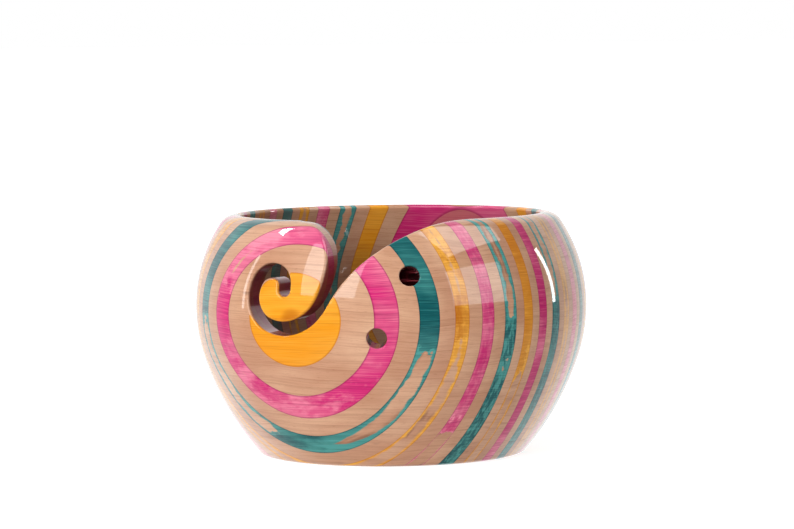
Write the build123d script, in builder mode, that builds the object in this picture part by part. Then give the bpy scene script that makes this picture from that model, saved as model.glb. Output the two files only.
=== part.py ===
"""Yarn bowl turned from a glued stack of dyed and plain beech laminae.

Millimetres. +Z is up and the origin is the centre of the base. The laminae are upright slabs
stacked along Y, the orange cap of the stack facing -Y. The yarn notch with its spiral yarn
guide is cut straight through the front wall, and two holes hold hooks beside it.
"""

from build123d import *
from math import asin, cos, degrees, radians, sin, tan
from itertools import cycle
import os

# Outside of the bowl: three tangent arcs from the foot to the rim
height = 97.9
belly_radius = 80.0
belly_height = 60.3
shoulder_arc = 61.5
waist_arc = 66.0
waist_turn = 18.65
foot_arc = 117.0
foot_edge_round = 1.0

# Inside of the bowl: the wall is thickest at the belly and thins towards the rim
inner_belly_radius = 68.5
inner_shoulder_arc = 64.0
inner_shoulder_turn = 14.2
inner_waist_arc = 60.0
inner_corner_arc = 28.0
floor_thickness = 9.0
rim_outer_round = 3.0
rim_inner_round = 1.6

# Yarn notch and spiral guide, seen from the front: the slot's closed end, then the arcs of its
# middle line as (radius, degrees turned), then the tongue's hump and the slope up to the rim
slot_width = 5.5
slot_end = (-4.0, 71.7)
slot_run = 1.6
slot_arcs = [(5.2, 60.5), (7.9, 90.0), (12.1, 100.8), (19.0, 81.8)]
cheek_arc = 29.0
hump_arc = 17.0
slope_arc = 68.3
slope_turn = 45.0

# Hook holes, drilled square to the wall: (distance right of the axis, height)
hook_hole_radius = 4.0
hook_hole_depth = 16.0
hook_holes = [(33.7, 53.2), (44.0, 77.4)]

# Stack, from the orange cap at the front to the back of the bowl
stack_order = ("orange", "beech", "pink", "beech", "teal", "beech")
thickness = {"orange": 4.5, "pink": 4.6, "teal": 5.2}
front_beech = 4.4
back_beech = 3.7
thin_beech_behind = 31.2
cap_thickness = 2.75

clearance = 5.0


def outer_arc_at(z):
    """Radius of the outside at height z, and the tilt of its outward normal in radians."""
    arc = shoulder_arc if z > belly_height else waist_arc
    tilt = asin((z - belly_height) / arc)
    return belly_radius - arc * (1 - cos(tilt)), tilt


# The turned bowl, before it is thought of as laminae
with BuildPart() as bowl:
    with BuildSketch(Plane.XZ):
        with BuildLine():
            shoulder_turn = degrees(asin((height - belly_height) / shoulder_arc))
            outside = JernArc((belly_radius, belly_height), (0, 1), shoulder_arc, shoulder_turn)
            belly = (inner_belly_radius, belly_height)
            inside = JernArc(belly, (0, 1), inner_shoulder_arc, inner_shoulder_turn)
            neck_lean = (height - (inside @ 1).Y) * tan(radians(inner_shoulder_turn))
            neck = Line(inside @ 1, ((inside @ 1).X - neck_lean, height))
            Line(outside @ 1, neck @ 1)
            waist = JernArc((belly_radius, belly_height), (0, -1), waist_arc, -waist_turn)
            foot_rise = (waist @ 1).Y
            foot_centre_height = foot_rise + foot_arc * sin(radians(waist_turn))
            foot_turn = degrees(asin(foot_centre_height / foot_arc)) - waist_turn
            foot = JernArc(waist @ 1, waist % 1, foot_arc, -foot_turn)
            drop = belly_height - floor_thickness
            inner_waist_turn = degrees(asin((drop - inner_corner_arc) / (inner_waist_arc - inner_corner_arc)))
            inner_waist = JernArc(inside @ 0, (0, -1), inner_waist_arc, -inner_waist_turn)
            corner = JernArc(inner_waist @ 1, inner_waist % 1, inner_corner_arc, inner_waist_turn - 90)
            Polyline(corner @ 1, (0, floor_thickness), (0, 0), foot @ 1)
        make_face()
        fillet(vertices().sort_by_distance(outside @ 1)[0], rim_outer_round)
        fillet(vertices().sort_by_distance(neck @ 1)[0], rim_inner_round)
        fillet(vertices().sort_by_distance(foot @ 1)[0], foot_edge_round)
    revolve(axis=Axis.Z)

    with BuildSketch(Plane.XZ):
        with BuildLine():
            half = slot_width / 2
            end_x, end_z = slot_end
            tongue = Line((end_x - half, end_z), (end_x - half, end_z + slot_run))
            bank = Line((end_x + half, end_z), (end_x + half, end_z + slot_run))
            JernArc(tongue @ 0, (0, -1), half, 180)
            for radius, turn in slot_arcs:
                tongue = JernArc(tongue @ 1, tongue % 1, radius - half, turn)
                bank = JernArc(bank @ 1, bank % 1, radius + half, turn)
            heading = 90 + sum(turn for radius, turn in slot_arcs) - 360
            cheek = JernArc(tongue @ 1, tongue % 1, cheek_arc, 90 - heading)
            hump = JernArc(cheek @ 1, cheek % 1, hump_arc, 90)
            slope = JernArc(bank @ 1, bank % 1, slope_arc, -slope_turn)
            above = height + clearance
            Polyline(hump @ 1, ((hump @ 1).X, above), ((slope @ 1).X, above), slope @ 1)
        make_face()
    extrude(amount=belly_radius + clearance, mode=Mode.SUBTRACT)

    for x, z in hook_holes:
        radius, tilt = outer_arc_at(z)
        swing = asin(x / radius)
        outward = (cos(tilt) * sin(swing), -cos(tilt) * cos(swing), sin(tilt))
        with Locations(Plane(origin=(x, -radius * cos(swing), z), z_dir=outward)):
            with Locations((0, 0, clearance)):
                Hole(hook_hole_radius, depth=hook_hole_depth + clearance)

# Laminae: each is the slab of the bowl between two glue lines
os.makedirs("parts", exist_ok=True)
slab_front = -belly_radius
slab_back = slab_front + cap_thickness
number = 0
for colour in cycle(stack_order):
    if slab_front >= belly_radius:
        break
    number += 1
    if number > 1:
        beech = front_beech if slab_front < -thin_beech_behind else back_beech
        slab_back = min(slab_front + thickness.get(colour, beech), belly_radius)
    with BuildPart() as lamina:
        add(bowl.part)
        with Locations((0, (slab_front + slab_back) / 2, height / 2)):
            Box(3 * belly_radius, slab_back - slab_front, 2 * height, mode=Mode.INTERSECT)
    lamina.part.label = f"lamina_{number:02d}_{colour}"
    export_step(lamina.part, f"parts/{lamina.part.label}.step")
    slab_front = slab_back
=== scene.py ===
"""Looks of the laminated wooden yarn bowl.

The bowl's smooth skin is made once, as the zero surface of a distance field with the design's
own sizes, so that the rim, the yarn guide and the hook holes get their softened edges. It is
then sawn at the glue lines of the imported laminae, and each slab stands for its CAD lamina.
Lengths in the shape section are millimetres; Blender's scene is in metres.
"""

import math
import bmesh
import bpy
import numpy as np
from mathutils import Matrix, Vector


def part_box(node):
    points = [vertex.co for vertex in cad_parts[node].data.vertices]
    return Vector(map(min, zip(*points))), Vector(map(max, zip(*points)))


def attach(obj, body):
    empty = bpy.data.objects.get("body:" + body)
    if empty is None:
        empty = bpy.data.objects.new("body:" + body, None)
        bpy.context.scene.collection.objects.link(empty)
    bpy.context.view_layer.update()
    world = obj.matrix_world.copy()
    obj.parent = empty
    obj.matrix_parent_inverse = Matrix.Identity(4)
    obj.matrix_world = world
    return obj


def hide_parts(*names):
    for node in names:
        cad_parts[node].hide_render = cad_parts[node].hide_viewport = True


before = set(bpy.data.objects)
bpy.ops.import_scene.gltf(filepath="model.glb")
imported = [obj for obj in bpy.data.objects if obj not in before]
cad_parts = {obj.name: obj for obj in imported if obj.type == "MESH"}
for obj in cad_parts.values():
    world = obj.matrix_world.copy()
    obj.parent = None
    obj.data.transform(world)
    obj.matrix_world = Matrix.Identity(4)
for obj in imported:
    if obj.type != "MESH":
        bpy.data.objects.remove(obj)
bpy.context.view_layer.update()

MM = 0.001

# ---------------------------------------------------------------- shape of the turned bowl, mm

HEIGHT = 97.9
BELLY_HEIGHT = 60.3
FLOOR_THICKNESS = 9.0

# Each wall's outline is tangent arcs from the belly, up and down: (radius, degrees turned). A
# shoulder that stops turning goes on straight
OUTER_BELLY, OUTER_SHOULDER, OUTER_LOWER = 80.0, (61.5, 90.0), [(66.0, 18.65), (117.0, 90.0)]
INNER_BELLY, INNER_SHOULDER, INNER_LOWER = 68.5, (64.0, 14.2), [(60.0, 46.75), (28.0, 90.0)]

# The yarn guide's slot, as in the CAD part
SLOT_WIDTH = 5.5
SLOT_END = (-4.0, 71.7)
SLOT_RUN = 1.6
SLOT_ARCS = [(5.2, 60.5), (7.9, 90.0), (12.1, 100.8), (19.0, 81.8)]
CHEEK_ARC, HUMP_ARC, SLOPE_ARC, SLOPE_TURN = 29.0, 17.0, 68.3, 45.0
HOOK_HOLES = [(33.7, 53.2), (44.0, 77.4)]
HOLE_RADIUS = 4.0

# Softened edges
RIM_OUTER_ROUND, RIM_INNER_ROUND, FOOT_ROUND, HOLE_ROUND = 3.0, 1.6, 1.0, 0.35
CUT_FRONT_ROUND, CUT_BACK_ROUND = 0.9, 3.2

# The cut goes through the front wall only, and each hole through the wall it starts in
CUT_ENDS_AT_Y = -15
HOLE_REACH = 20
FAR_AWAY = 20.0

CELL = 0.62


def rounded_both(a, b, radius):
    """Distance to where two solids meet, with the edge between them rounded."""
    corner = np.hypot(np.maximum(a + radius, 0), np.maximum(b + radius, 0))
    return np.minimum(np.maximum(a, b), -radius) + corner


def wall_distance(r, z, belly, shoulder, lower):
    """Signed distance to a wall's outline, negative on the axis side."""
    arc, last = shoulder[0], math.radians(shoulder[1])
    out, rise = r - belly + arc, z - BELLY_HEIGHT
    straight = out * math.cos(last) + rise * math.sin(last) - arc
    distance = np.where(np.arctan2(rise, out) > last, straight, np.hypot(out, rise) - arc)
    centre_r, centre_z, turned = belly - lower[0][0], BELLY_HEIGHT, 0.0
    for i, (radius, turn) in enumerate(lower):
        below = (z < centre_z) if i == 0 else (np.arctan2(centre_z - z, r - centre_r) > math.radians(turned))
        distance = np.where(below, np.hypot(r - centre_r, z - centre_z) - radius, distance)
        turned += turn
        if i + 1 < len(lower):
            shift = radius - lower[i + 1][0]
            centre_r += shift * math.cos(math.radians(turned))
            centre_z -= shift * math.sin(math.radians(turned))
    return distance


def inside_distance(r, z):
    wall = wall_distance(r, z, INNER_BELLY, INNER_SHOULDER, INNER_LOWER)
    radius = INNER_LOWER[-1][0]
    flat_radius = inner_flat_radius()
    over_floor = (r < flat_radius) & (z < FLOOR_THICKNESS + radius)
    return np.where(over_floor, FLOOR_THICKNESS - z, wall)


def inner_flat_radius():
    """Radius of the flat middle of the cavity's floor."""
    (waist, turn), (corner, _) = INNER_LOWER
    return INNER_BELLY - waist + (waist - corner) * math.cos(math.radians(turn))


def walk(start, heading, moves):
    """Points along straight runs (a number) and tangent arcs (radius, degrees turned)."""
    points = [np.array(start, float)]
    heading = math.radians(heading)
    for move in moves:
        along = np.array((math.cos(heading), math.sin(heading)))
        if not isinstance(move, tuple):
            points.append(points[-1] + along * move)
            continue
        radius, turn = move
        side = math.copysign(1, turn)
        centre = points[-1] + side * radius * np.array((-along[1], along[0]))
        steps = max(2, round(abs(turn) / 4))
        for angle in np.radians(turn) * np.arange(1, steps + 1) / steps:
            a = heading + angle
            points.append(centre + side * radius * np.array((math.sin(a), -math.cos(a))))
        heading += math.radians(turn)
    return points


def cut_outline():
    """Closed outline of the notch and spiral slot in the XZ plane."""
    half = SLOT_WIDTH / 2
    x, z = SLOT_END
    heading = 90 + sum(turn for _, turn in SLOT_ARCS) - 360
    tongue = walk((x - half, z), 90, [SLOT_RUN] + [(r - half, t) for r, t in SLOT_ARCS]
                  + [(CHEEK_ARC, 90 - heading), (HUMP_ARC, 90)])
    bank = walk((x + half, z), 90, [SLOT_RUN] + [(r + half, t) for r, t in SLOT_ARCS]
                + [(SLOPE_ARC, -SLOPE_TURN)])
    end = walk((x - half, z), -90, [(half, 180)])
    above = HEIGHT + 12
    lid = [np.array((tongue[-1][0], above)), np.array((bank[-1][0], above))]
    return np.array(tongue + lid + bank[::-1] + end[::-1][1:-1])


def outline_distance(outline, x, z):
    """Signed distance from each point to a closed outline, negative inside."""
    distance = np.full(x.shape, np.inf)
    inside = np.zeros(x.shape, bool)
    for (ax, az), (bx, bz) in zip(outline, np.roll(outline, -1, axis=0)):
        ex, ez = bx - ax, bz - az
        length = ex * ex + ez * ez
        if length < 1e-12:
            continue
        t = np.clip(((x - ax) * ex + (z - az) * ez) / length, 0, 1)
        distance = np.minimum(distance, np.hypot(x - ax - t * ex, z - az - t * ez))
        crosses = (az > z) != (bz > z)
        if ez:
            inside ^= crosses & (x < ax + (z - az) * ex / ez)
    return np.where(inside, -distance, distance)


class CutTable:
    """The cut's distance on a fine grid, read between its points."""

    step, far = 0.25, 8.0

    def __init__(self):
        outline = cut_outline()
        self.low = outline.min(0) - self.far
        size = np.ceil((outline.max(0) + self.far - self.low) / self.step).astype(int) + 1
        x, z = (self.low[i] + self.step * np.arange(size[i]) for i in (0, 1))
        self.values = outline_distance(outline, *np.meshgrid(x, z, indexing="ij"))

    def __call__(self, x, z):
        at = [np.clip((v - low) / self.step, 0, n - 1.001) for v, low, n in
              zip((x, z), self.low, self.values.shape)]
        i, k = (a.astype(int) for a in at)
        u, w = at[0] - i, at[1] - k
        v = self.values
        return ((v[i, k] * (1 - u) + v[i + 1, k] * u) * (1 - w)
                + (v[i, k + 1] * (1 - u) + v[i + 1, k + 1] * u) * w)


def hole_axes():
    """Centre on the outside and outward direction of each hook hole."""
    for x, z in HOOK_HOLES:
        arc = OUTER_SHOULDER[0] if z > BELLY_HEIGHT else OUTER_LOWER[0][0]
        tilt = math.asin((z - BELLY_HEIGHT) / arc)
        radius = OUTER_BELLY - arc * (1 - math.cos(tilt))
        swing = math.asin(x / radius)
        level = math.cos(tilt)
        outward = np.array((level * math.sin(swing), -level * math.cos(swing), math.sin(tilt)))
        yield np.array((x, -radius * math.cos(swing), z)), outward


cut_distance = CutTable()


def bowl_distance(x, y, z):
    """Signed distance to the finished bowl, negative in the wood."""
    r = np.hypot(x, y)
    outside = wall_distance(r, z, OUTER_BELLY, OUTER_SHOULDER, OUTER_LOWER)
    bowl = rounded_both(outside, z - HEIGHT, RIM_OUTER_ROUND)
    bowl = rounded_both(bowl, -z, FOOT_ROUND)
    bowl = rounded_both(bowl, -inside_distance(r, z), RIM_INNER_ROUND)
    front = np.where(y < CUT_ENDS_AT_Y, cut_distance(x, z), FAR_AWAY)
    depth = np.clip(-outside / (OUTER_BELLY - INNER_BELLY), 0, 1)
    bowl = rounded_both(bowl, -front, CUT_FRONT_ROUND + (CUT_BACK_ROUND - CUT_FRONT_ROUND) * depth)
    for centre, outward in hole_axes():
        dx, dy, dz = x - centre[0], y - centre[1], z - centre[2]
        along = dx * outward[0] + dy * outward[1] + dz * outward[2]
        across = np.sqrt(np.maximum(dx * dx + dy * dy + dz * dz - along * along, 0))
        hole = np.where(np.abs(along) < HOLE_REACH, across - HOLE_RADIUS, FAR_AWAY)
        bowl = rounded_both(bowl, -hole, HOLE_ROUND)
    return bowl


def fade(value, low, high):
    """0 at low, 1 at high, and smooth between."""
    t = np.clip((value - low) / (high - low), 0, 1)
    return t * t * (3 - 2 * t)


def cut_wall(points):
    """How much each point lies on a sawn or drilled wall: 1 there, 0 on the turned surfaces."""
    x, y, z = points.T
    depth = -wall_distance(np.hypot(x, y), z, OUTER_BELLY, OUTER_SHOULDER, OUTER_LOWER)
    away = np.where(y < CUT_ENDS_AT_Y, cut_distance(x, z), FAR_AWAY)
    for centre, outward in hole_axes():
        offset = points - centre
        along = offset @ outward
        across = np.sqrt(np.maximum((offset ** 2).sum(1) - along * along, 0))
        away = np.where(np.abs(along) < HOLE_REACH, np.minimum(away, across - HOLE_RADIUS), away)
    return fade(depth, 0.5, 1.6) * fade(away, 1.3, 0.3)


def inside_wall(points):
    """How much each point lies on the inside of the bowl: 1 there, 0 elsewhere."""
    x, y, z = points.T
    return fade(inside_distance(np.hypot(x, y), z), 2.0, 0.5) * fade(z, HEIGHT - 0.5, HEIGHT - 3.0)


def gradient(points, step=0.05):
    """Unit outward normals of the surface at these points."""
    columns = []
    for axis in range(3):
        shift = np.zeros(3)
        shift[axis] = step
        columns.append(bowl_distance(*(points + shift).T) - bowl_distance(*(points - shift).T))
    slope = np.stack(columns, axis=1)
    return slope / np.maximum(np.linalg.norm(slope, axis=1, keepdims=True), 1e-9)


def skin():
    """Vertices and quads of the bowl's whole surface, by surface nets drawn onto the field."""
    margin = 2 * CELL
    low = np.array((-OUTER_BELLY - margin, -OUTER_BELLY - margin, -margin))
    count = np.ceil((np.array((OUTER_BELLY, OUTER_BELLY, HEIGHT)) + margin - low) / CELL).astype(int) + 1
    axes = [low[a] + CELL * np.arange(count[a]) for a in range(3)]
    field = np.empty(count, np.float32)
    x, z = np.meshgrid(axes[0], axes[2], indexing="ij")
    for j, y in enumerate(axes[1]):
        field[:, j, :] = bowl_distance(x, np.full_like(x, y), z)
    wood = field < 0

    corners = [wood[i:count[0] - 1 + i, j:count[1] - 1 + j, k:count[2] - 1 + k]
               for i in (0, 1) for j in (0, 1) for k in (0, 1)]
    filled = sum(c.astype(np.int8) for c in corners)
    cells = np.argwhere((filled > 0) & (filled < 8))
    number = np.full(count - 1, -1, np.int32)
    number[tuple(cells.T)] = np.arange(len(cells))
    points = low + CELL * (cells + 0.5)

    quads = []
    for axis in range(3):
        b, c = (axis + 1) % 3, (axis + 2) % 3
        start = [slice(None)] * 3
        end = [slice(None)] * 3
        start[axis], end[axis] = slice(0, -1), slice(1, None)
        first, second = wood[tuple(start)], wood[tuple(end)]
        edges = np.argwhere(first != second)
        edges = edges[(edges[:, b] > 0) & (edges[:, c] > 0)]
        ring = []
        for db, dc in ((-1, -1), (0, -1), (0, 0), (-1, 0)):
            cell = edges.copy()
            cell[:, b] += db
            cell[:, c] += dc
            ring.append(number[tuple(cell.T)])
        ring = np.stack(ring, axis=1)
        outward = first[tuple(edges.T)]
        ring[~outward] = ring[~outward][:, ::-1]
        quads.append(ring)
    quads = np.vstack(quads)

    for smoothing in (0.5, 0.5, 0.0):
        for _ in range(3):
            normal = gradient(points)
            points = points - normal * bowl_distance(*points.T)[:, None]
        if smoothing:
            total, hits = np.zeros_like(points), np.zeros(len(points))
            for a, b in ((0, 1), (1, 2), (2, 3), (3, 0)):
                for p, q in ((a, b), (b, a)):
                    for axis in range(3):
                        total[:, axis] += np.bincount(quads[:, p], points[quads[:, q], axis], len(points))
                    hits += np.bincount(quads[:, p], minlength=len(points))
            points += smoothing * (total / hits[:, None] - points)
    return points, quads


def slab(name, points, quads, front, back):
    """One lamina: the part of the skin between two glue planes, closed by them."""
    reach = points[quads][:, :, 1]
    near = quads[(reach.max(1) > front) & (reach.min(1) < back)]
    used, faces = np.unique(near, return_inverse=True)
    mesh = bpy.data.meshes.new(name)
    mesh.from_pydata((points[used]).tolist(), [], faces.reshape(-1, 4).tolist())
    shape = bmesh.new()
    shape.from_mesh(mesh)
    for y, side in ((front, -1), (back, 1)):
        if abs(y) > OUTER_BELLY - 0.3:
            continue
        everything = shape.verts[:] + shape.edges[:] + shape.faces[:]
        made = bmesh.ops.bisect_plane(shape, geom=everything, dist=1e-5, plane_co=(0, y, 0),
                                      plane_no=(0, side, 0), clear_outer=True)
        rim = [e for e in made["geom_cut"] if isinstance(e, bmesh.types.BMEdge) and e.is_boundary]
        bmesh.ops.triangle_fill(shape, edges=rim, use_beauty=False, normal=(0, side, 0))
    bmesh.ops.triangulate(shape, faces=[f for f in shape.faces if len(f.verts) > 4])
    shape.to_mesh(mesh)
    shape.free()

    count = len(mesh.vertices)
    place = np.empty(count * 3)
    mesh.vertices.foreach_get("co", place)
    place = place.reshape(-1, 3)
    smooth = gradient(place)
    loops = np.empty(len(mesh.loops), int)
    mesh.loops.foreach_get("vertex_index", loops)
    normals = smooth[loops]
    for face in mesh.polygons:
        on_plane = [min(abs(place[v][1] - front), abs(place[v][1] - back)) < 1e-3 for v in face.vertices]
        if all(on_plane) and abs(face.normal.y) > 0.999:
            normals[face.loop_start:face.loop_start + face.loop_total] = face.normal
    for key, amount in (("cut_wall", cut_wall(place)), ("inside", inside_wall(place))):
        mesh.attributes.new(key, "FLOAT", "POINT").data.foreach_set("value", amount)
    mesh.vertices.foreach_set("co", (place * MM).ravel())
    mesh.polygons.foreach_set("use_smooth", [True] * len(mesh.polygons))
    mesh.update()
    mesh.normals_split_custom_set(normals.tolist())
    piece = bpy.data.objects.new(name, mesh)
    bpy.context.scene.collection.objects.link(piece)
    return piece


# ---------------------------------------------------------------- stained wood under clear lacquer

def add(tree, kind, *values, **settings):
    """Add a node and return its first output. A socket among the values is linked, None skipped."""
    made = tree.nodes.new(kind)
    for key, value in settings.items():
        setattr(made, key, value)
    for socket, value in zip(made.inputs, values):
        if isinstance(value, bpy.types.NodeSocket):
            tree.links.new(value, socket)
        elif value is not None:
            socket.default_value = value
    return made.outputs[0]


def sums(tree, operation, a, b=0.0, clamp=False):
    """One arithmetic step."""
    return add(tree, "ShaderNodeMath", a, b, operation=operation, use_clamp=clamp)


def attribute(tree, name):
    """A number that slab() has stored on the mesh."""
    made = tree.nodes.new("ShaderNodeAttribute")
    made.attribute_name = name
    return made.outputs["Fac"]


def mixed(tree, factor, a, b):
    """Colour a where the factor is 0, b where it is 1."""
    made = tree.nodes.new("ShaderNodeMix")
    made.data_type = "RGBA"
    for socket, value in ((made.inputs[0], factor), (made.inputs[6], a), (made.inputs[7], b)):
        if isinstance(value, bpy.types.NodeSocket):
            tree.links.new(value, socket)
        else:
            socket.default_value = (*value, 1) if isinstance(value, tuple) else value
    return made.outputs[2]


def ramp(tree, value, low, high, to_low=0.0, to_high=1.0):
    """Smooth step from to_low, where the value is low, to to_high, where it is high."""
    return add(tree, "ShaderNodeMapRange", value, low, high, to_low, to_high,
               interpolation_type="SMOOTHSTEP", clamp=True)


def noise(tree, place, scale, detail=2.0, roughness=0.5, shift=0.0):
    """Noise whose cells are 1/scale millimetres along each axis."""
    stretched = add(tree, "ShaderNodeMapping", place, (shift, 2 * shift, 3 * shift), None, scale)
    return add(tree, "ShaderNodeTexNoise", stretched, None, 1.0, detail, roughness)


def linear(*display):
    """Scene colour of a display colour given as red, green and blue from 0 to 255."""
    return tuple(((c / 255 + 0.055) / 1.055) ** 2.4 if c > 10 else c / 255 / 12.92 for c in display)


RINGS_PER_MM = 0.26
RELIEF = 0.00004
WOOD_IOR, WOOD_SHINE = 1.5, 0.12
LACQUER_IOR, LACQUER_ROUGHNESS = 1.5, 0.02

BEECH_PALE, BEECH_MID = linear(207, 163, 132), linear(187, 137, 107)
BEECH_LINE, BEECH_KNOT = linear(138, 84, 54), linear(84, 50, 36)
# Painted shade colours: dark maroon for the sawn and drilled walls, dark brown for the inside of the bowl
SAWN_PAINTED_SHADE, INSIDE_PAINTED_SHADE = linear(124, 24, 38), linear(62, 28, 18)

# How gradually each stain ends, as a share of the lamina
SOFTNESS = {"pink": 0.14, "teal": 0.1, "orange": 0.3}

# Deep stain, stain where it is thin, and the line where it pools along a glue joint
STAINS = {
    "pink": (linear(203, 25, 109), linear(232, 136, 158), linear(128, 6, 66)),
    "teal": (linear(0, 84, 88), linear(70, 150, 144), linear(0, 42, 48)),
    "orange": (linear(227, 144, 6), linear(236, 172, 64), linear(164, 84, 6)),
}

# Bare laminae that a neighbour's stain has run into on the inside of the bowl
BLED_INSIDE = {34: "pink"}


class Soak:
    """How a stain lies in one lamina.

    around: how far it has soaked in from the glue joints, by the angle about the middle of the
    stack's front seen from the front (0 to the right, 90 up). 0 is bare, 1 and more right through.
    patchy: how much that varies. thin: how pale the stain is, from 0 to 1. dark: how much of the
    pooled colour is in it. mottle: how much it breaks up into paler flakes.
    """

    def __init__(self, around, patchy=0.15, thin=0.0, dark=0.0, mottle=0.0):
        self.around, self.patchy, self.thin = around, patchy, thin
        self.dark, self.mottle = dark, mottle


SOAK = {
    1: Soak([(0, 1.5)], 0.1),
    3: Soak([(0, 1.5), (100, 1.3), (118, 1.05), (160, 1.08), (172, 1.5), (205, 1.3), (225, 1.18),
             (285, 1.16), (312, 1.4)], 0.2),
    5: Soak([(0, 1.5), (180, 1.4), (187, 0.4), (240, 0.45), (248, 1.2), (276, 1.15), (284, 0.75), (300, 0.45),
             (318, 0.35), (344, 0.45), (350, 1.5)], 0.16),
    7: Soak([(0, 1.3), (16, 1.0), (28, 1.15), (40, 1.3), (180, 0.8), (300, 0.45), (334, 0.5),
             (347, 1.0), (356, 1.3)], 0.25, dark=0.8, mottle=0.15),
    9: Soak([(0, 1.5), (180, 1.3), (300, 0.15), (316, 0.2), (320, 1.4)], 0.12, dark=0.15, mottle=0.2),
    11: Soak([(0, 0.75), (4, 0.45), (30, 0.6), (180, 1.2), (338, 1.4), (343, 0.8), (348, 1.35),
              (358, 1.3)], 0.3, mottle=0.9),
    13: Soak([(0, 1.4), (180, 1.2), (300, 0.3), (338, 0.38), (348, 1.4)], 0.15, dark=0.5),
    15: Soak([(0, 1.5)], 0.1, dark=0.2),
    17: Soak([(0, 1.4), (4, 1.3), (8, 0.6), (30, 0.4), (180, 1.0), (300, 1.5)], 0.25, mottle=0.4),
    19: Soak([(0, 0.9)], 0.3, 0.75),
    21: Soak([(0, 1.3)], 0.2, 0.45),
    31: Soak([(0, 1.5)], 0.1),
    33: Soak([(0, 1.5)], 0.1),
}
SOAK_ELSEWHERE = [Soak([(0, 1.3), (90, 1.1), (200, 0.5), (290, 1.3)], 0.3),
                  Soak([(0, 0.9), (120, 1.3), (180, 1.4), (230, 0.5), (320, 0.6)], 0.3, 0.1),
                  Soak([(0, 1.4), (150, 0.6), (190, 1.2), (300, 1.3)], 0.25),
                  Soak([(0, 1.3), (180, 1.4)], 0.25, 0.15)]


def soak_of(number):
    """The soak given for this lamina, or one of those for the rest of the stack."""
    return SOAK.get(number) or SOAK_ELSEWHERE[number // 2 % len(SOAK_ELSEWHERE)]


def soaked(tree, soak, place, patches):
    """How deep the stain is at each place, from the soak's angles and a patchy noise."""
    split = tree.nodes.new("ShaderNodeSeparateXYZ")
    tree.links.new(place, split.inputs[0])
    angle = sums(tree, "ARCTAN2", sums(tree, "SUBTRACT", split.outputs[2], BELLY_HEIGHT), split.outputs[0])
    turn = sums(tree, "FRACT", sums(tree, "ADD", sums(tree, "DIVIDE", angle, 2 * math.pi), 1.0))
    turn = sums(tree, "ADD", turn, ramp(tree, patches, 0.3, 0.7, -0.012, 0.012), clamp=True)
    profile = tree.nodes.new("ShaderNodeValToRGB")
    stops = profile.color_ramp.elements
    around = soak.around + [(360, soak.around[0][1])]
    while len(stops) < len(around):
        stops.new(0.5)
    for stop, (degrees, amount) in zip(stops, around):
        stop.position = degrees / 360
        stop.color = (amount / 2, amount / 2, amount / 2, 1)
    tree.links.new(turn, profile.inputs[0])
    depth = sums(tree, "MULTIPLY", profile.outputs[0], 2.0)
    return sums(tree, "ADD", depth, ramp(tree, patches, 0.28, 0.72, -soak.patchy, soak.patchy))


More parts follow.
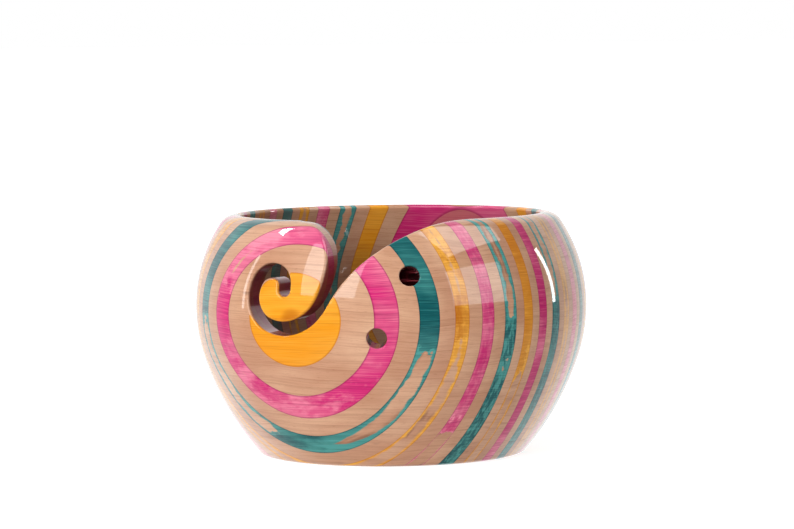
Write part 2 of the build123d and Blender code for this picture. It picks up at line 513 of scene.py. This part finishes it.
def lamina_material(number, colour, front, back):
    """Lacquered veneer between two glue planes (mm), in bare beech or stained."""
    material = bpy.data.materials.new(f"lacquered_{number:02d}_{colour}")
    material.use_nodes = True
    tree = material.node_tree
    shader = tree.nodes["Principled BSDF"]
    metres = tree.nodes.new("ShaderNodeTexCoord").outputs["Object"]
    place = add(tree, "ShaderNodeVectorMath", metres, (1000, 1000, 1000), operation="MULTIPLY")
    own = add(tree, "ShaderNodeVectorMath", place, (137.1 * number, 0, 41.7 * number), operation="ADD")
    split = tree.nodes.new("ShaderNodeSeparateXYZ")
    tree.links.new(place, split.inputs[0])

    # Growth rings run along X and wander a little; each darkens slowly and ends in a thin line
    wander = noise(tree, own, (0.008, 0.012, 0.014), 2, shift=5)
    lift = add(tree, "ShaderNodeCombineXYZ", 0.0, 0.0, sums(tree, "MULTIPLY", wander, 12.0))
    waved = add(tree, "ShaderNodeVectorMath", own, lift, operation="ADD")
    waved_split = tree.nodes.new("ShaderNodeSeparateXYZ")
    tree.links.new(waved, waved_split.inputs[0])
    uneven = noise(tree, waved, (0.004, 0.008, 0.16), 1, shift=8)
    phase = sums(tree, "ADD", sums(tree, "MULTIPLY", waved_split.outputs[2], RINGS_PER_MM),
                 sums(tree, "MULTIPLY", uneven, 3.2))
    late = sums(tree, "POWER", sums(tree, "FRACT", phase), 7.0)
    faint = ramp(tree, noise(tree, waved, (0.02, 0.05, 0.12), 2, shift=9), 0.36, 0.62, 0.1, 1.0)
    ring = sums(tree, "MULTIPLY", late, faint)
    lines = noise(tree, waved, (0.035, 0.09, 2.4), 3, 0.65, shift=2)
    flecks = ramp(tree, noise(tree, waved, (0.45, 0.45, 3.6), 1, shift=3), 0.6, 0.74)
    blotch = noise(tree, own, (0.025, 0.05, 0.06), 3, shift=4)
    streak = ramp(tree, noise(tree, waved, (0.03, 0.12, 0.3), 3, 0.5, shift=6), 0.68, 0.8)

    bare = mixed(tree, ramp(tree, blotch, 0.3, 0.7), BEECH_PALE, BEECH_MID)
    bare = mixed(tree, ramp(tree, lines, 0.4, 0.72, 0.0, 0.3), bare, BEECH_LINE)
    bare = mixed(tree, sums(tree, "MULTIPLY", ring, 0.42), bare, BEECH_LINE)
    bare = mixed(tree, sums(tree, "MULTIPLY", flecks, 0.24), bare, BEECH_LINE)
    bare = mixed(tree, sums(tree, "MULTIPLY", streak, 0.4), bare, BEECH_KNOT)
    finished = bare

    if colour in STAINS:
        soak = soak_of(number)
        deep, thin, pooled = STAINS[colour]
        deep = tuple(a + soak.dark * (b - a) for a, b in zip(deep, pooled))
        middle, half = (front + back) / 2, (back - front) / 2
        edge = sums(tree, "ABSOLUTE", sums(tree, "SUBTRACT", split.outputs[1], middle))
        edge = sums(tree, "DIVIDE", edge, half)
        patches = noise(tree, waved, (0.07, 0.2, 0.14), 4, 0.62, shift=7)
        depth = soaked(tree, soak, place, patches)
        reach = sums(tree, "ADD", edge, depth)
        softness = SOFTNESS[colour]
        stained = ramp(tree, reach, 1 - softness / 2, 1 + softness, 0.0, 1 - 0.55 * soak.thin)
        near_stain, brown = ramp(tree, reach, 0.55, 0.92), ramp(tree, blotch, 0.5, 0.66, 0.0, 0.55)
        bare = mixed(tree, sums(tree, "MULTIPLY", near_stain, brown), bare, BEECH_KNOT)
        pale, dry = ramp(tree, blotch, 0.38, 0.7, 0.0, 0.5), ramp(tree, lines, 0.5, 0.3, 0.0, 0.3)
        weak = sums(tree, "ADD", pale, dry)
        weak = sums(tree, "ADD", weak, ramp(tree, depth, 1.35, 1.05, 0.0, 0.6))
        flakes = ramp(tree, noise(tree, waved, (0.3, 0.9, 0.22), 3, 0.6, shift=11), 0.44, 0.62)
        weak = sums(tree, "ADD", weak, sums(tree, "MULTIPLY", flakes, soak.mottle))
        weak = sums(tree, "ADD", weak, soak.thin, clamp=True)
        stain = mixed(tree, weak, deep, thin)
        stain = mixed(tree, ramp(tree, lines, 0.45, 0.75, 0.0, 0.45), stain, pooled)
        stain = mixed(tree, sums(tree, "MULTIPLY", ring, 0.35), stain, pooled)
        stain = mixed(tree, ramp(tree, edge, 0.84, 0.99, 0.0, 0.6), stain, pooled)
        finished = mixed(tree, stained, bare, stain)

    # Painted shade: the inside is painted darker with depth, where little light reaches into the bowl. The
    # sawn and drilled walls are painted dark maroon as shade, less so towards the top of the notch
    height, inside = split.outputs[2], attribute(tree, "inside")
    if number in BLED_INSIDE:
        bled = sums(tree, "MULTIPLY", inside, ramp(tree, blotch, 0.3, 0.7, 0.75, 0.45))
        finished = mixed(tree, bled, finished, STAINS[BLED_INSIDE[number]][0])
    # Painted shade on the inside, deeper towards the bottom
    hollow_shade = sums(tree, "MULTIPLY", inside, ramp(tree, height, 94, 66, 0.25, 0.52))
    finished = mixed(tree, hollow_shade, finished, INSIDE_PAINTED_SHADE)
    # Painted shade on the sawn and drilled walls, strongest deep in the notch
    sawn = sums(tree, "MULTIPLY", attribute(tree, "cut_wall"), ramp(tree, height, 95, 76, 0.15, 0.9))
    finished = mixed(tree, sawn, finished, SAWN_PAINTED_SHADE)
    tree.links.new(finished, shader.inputs["Base Color"])
    tree.links.new(ramp(tree, lines, 0.3, 0.7, 0.42, 0.56), shader.inputs["Roughness"])
    relief = sums(tree, "SUBTRACT", lines, sums(tree, "MULTIPLY", flecks, 0.6))
    bump = add(tree, "ShaderNodeBump", 0.25, RELIEF)
    tree.links.new(relief, bump.node.inputs["Height"])
    tree.links.new(bump, shader.inputs["Normal"])
    shader.inputs["IOR"].default_value = WOOD_IOR
    shader.inputs["Specular IOR Level"].default_value = WOOD_SHINE
    shader.inputs["Coat Weight"].default_value = 1.0
    shader.inputs["Coat Roughness"].default_value = LACQUER_ROUGHNESS
    shader.inputs["Coat IOR"].default_value = LACQUER_IOR
    return material


points, quads = skin()
for node in sorted(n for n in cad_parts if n.startswith("lamina_")):
    _, number, colour = node.split("_")
    low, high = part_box(node)
    front, back = low.y / MM, high.y / MM
    veneer = slab(f"veneer_{number}_{colour}", points, quads, front, back)
    veneer.data.materials.append(lamina_material(int(number), colour, front, back))
    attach(veneer, "root")
    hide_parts(node)

# ---------------------------------------------------------------- floor, light and camera

centre = Vector((0, 0, HEIGHT / 2 * MM))


def softbox(name, azimuth, elevation, distance, radiance, diffuse=True, mirrored=True):
    """Lamp that fills these angles seen from the bowl: degrees from -Y towards +X, and upwards."""
    turn, rise = (math.radians(sum(span) / 2) for span in (azimuth, elevation))
    across, upwards = (math.radians(span[1] - span[0]) for span in (azimuth, elevation))
    wide = 2 * distance * math.tan(across / 2) * math.cos(rise)
    tall = 2 * distance * math.tan(upwards / 2)
    away = Vector((math.sin(turn) * math.cos(rise), -math.cos(turn) * math.cos(rise), math.sin(rise)))
    lamp = bpy.data.lights.new(name, "AREA")
    lamp.shape, lamp.size, lamp.size_y = "RECTANGLE", wide, tall
    lamp.energy = radiance * wide * tall * math.pi
    holder = bpy.data.objects.new(name, lamp)
    holder.location = centre + away * distance
    holder.rotation_euler = away.to_track_quat("Z", "Y").to_euler()
    holder.visible_camera = False
    holder.visible_diffuse, holder.visible_glossy = diffuse, mirrored
    bpy.context.scene.collection.objects.link(holder)


softbox("key", (-27, 11), (12, 48), 1.6, 4.5)
softbox("spot", (-67, -61), (42, 50), 1.8, 40.0)
softbox("front_fill", (-40, 30), (10, 44), 1.6, 3.1, mirrored=False)
softbox("right_fill", (55, 120), (10, 44), 1.6, 1.4, mirrored=False)
softbox("right_high", (60, 125), (41, 75), 1.6, 4.0, diffuse=False)
softbox("right_low", (64, 100), (5, 30), 1.6, 3.4, diffuse=False)
softbox("strip_right", (135.5, 138.5), (0, 25), 1.6, 14.0, diffuse=False)
softbox("strip_left", (-66, -64), (0, 28), 1.6, 5.0, diffuse=False)

# The bowl stands on a lit white table before a white backdrop, and the room in front of it is dark.
# The lacquer mirrors the backdrop and the room, but the camera itself sees white all round
VIEW_AZIMUTH = math.radians(29.147)
TABLE_RADIUS, SWEEP_RADIUS = 0.3, 40.0
TABLE_GLOW, TABLE_GLOW_SEEN = 0.32, 0.45
NOT_QUITE_FLOOR = -0.00005


def disc(name, radius, height, colour, glow):
    """Round white floor of the stage, lit and glowing a little by itself."""
    mesh = bpy.data.meshes.new(name)
    shape = bmesh.new()
    bmesh.ops.create_circle(shape, cap_ends=True, segments=96, radius=radius)
    shape.to_mesh(mesh)
    shape.free()
    made = bpy.data.objects.new(name, mesh)
    made.location.z = height
    bpy.context.scene.collection.objects.link(made)
    paper = bpy.data.materials.new(name + "_white")
    paper.use_nodes = True
    inputs = paper.node_tree.nodes["Principled BSDF"].inputs
    inputs["Base Color"].default_value = (colour, colour, colour, 1)
    inputs["Roughness"].default_value = 0.9
    inputs["Emission Color"].default_value = (1, 1, 1, 1)
    inputs["Emission Strength"].default_value = glow
    mesh.materials.append(paper)
    return made


table = disc("table", TABLE_RADIUS, NOT_QUITE_FLOOR, 0.55, TABLE_GLOW)
table.visible_glossy = False
sweep = disc("sweep", SWEEP_RADIUS, 2 * NOT_QUITE_FLOOR, 0.85, 1.0)
sweep.visible_glossy = sweep.visible_diffuse = False

# The camera sees the table brighter than the wood does
paper = table.data.materials[0].node_tree
to_camera = add(paper, "ShaderNodeLightPath")
paper.links.new(sums(paper, "ADD", sums(paper, "MULTIPLY", to_camera, TABLE_GLOW_SEEN), TABLE_GLOW),
                paper.nodes["Principled BSDF"].inputs["Emission Strength"])

world = bpy.data.worlds.new("white_studio")
world.use_nodes = True
tree = world.node_tree
direction = tree.nodes.new("ShaderNodeTexCoord").outputs["Generated"]
apart = tree.nodes.new("ShaderNodeSeparateXYZ")
tree.links.new(direction, apart.inputs[0])
behind = sums(tree, "SUBTRACT", sums(tree, "MULTIPLY", apart.outputs[1], math.cos(VIEW_AZIMUTH)),
              sums(tree, "MULTIPLY", apart.outputs[0], math.sin(VIEW_AZIMUTH)))
seen = add(tree, "ShaderNodeLightPath").node
mirrored = sums(tree, "ADD", ramp(tree, behind, 0.15, 0.7, 0.03, 1.1),
                ramp(tree, apart.outputs[2], -0.05, -0.3, 0.0, 0.3))
soft = sums(tree, "MULTIPLY", ramp(tree, behind, 0.1, 0.75, 0.15, 0.95),
            ramp(tree, apart.outputs[2], 0.3, 0.8, 1.0, 0.3))
difference = sums(tree, "MULTIPLY", seen.outputs["Is Glossy Ray"], sums(tree, "SUBTRACT", mirrored, soft))
brightness = sums(tree, "MAXIMUM", seen.outputs["Is Camera Ray"], sums(tree, "ADD", soft, difference))
tree.links.new(brightness, tree.nodes["Background"].inputs["Strength"])
tree.nodes["Background"].inputs["Color"].default_value = (1, 1, 1, 1)
bpy.context.scene.world = world
bpy.context.scene.view_settings.view_transform = "Standard"

VIEWPOINT = (0.679061, -1.212551, 0.17201)
lens = bpy.data.cameras.new("camera")
lens.sensor_width, lens.lens = 36.0, 154.19
camera = bpy.data.objects.new("camera", lens)
tilt, roll = math.radians(90 - 3.931), math.radians(-0.623)
camera.matrix_world = (Matrix.Translation(VIEWPOINT) @ Matrix.Rotation(VIEW_AZIMUTH, 4, "Z")
                       @ Matrix.Rotation(tilt, 4, "X") @ Matrix.Rotation(roll, 4, "Z"))
bpy.context.scene.collection.objects.link(camera)
bpy.context.scene.camera = camera
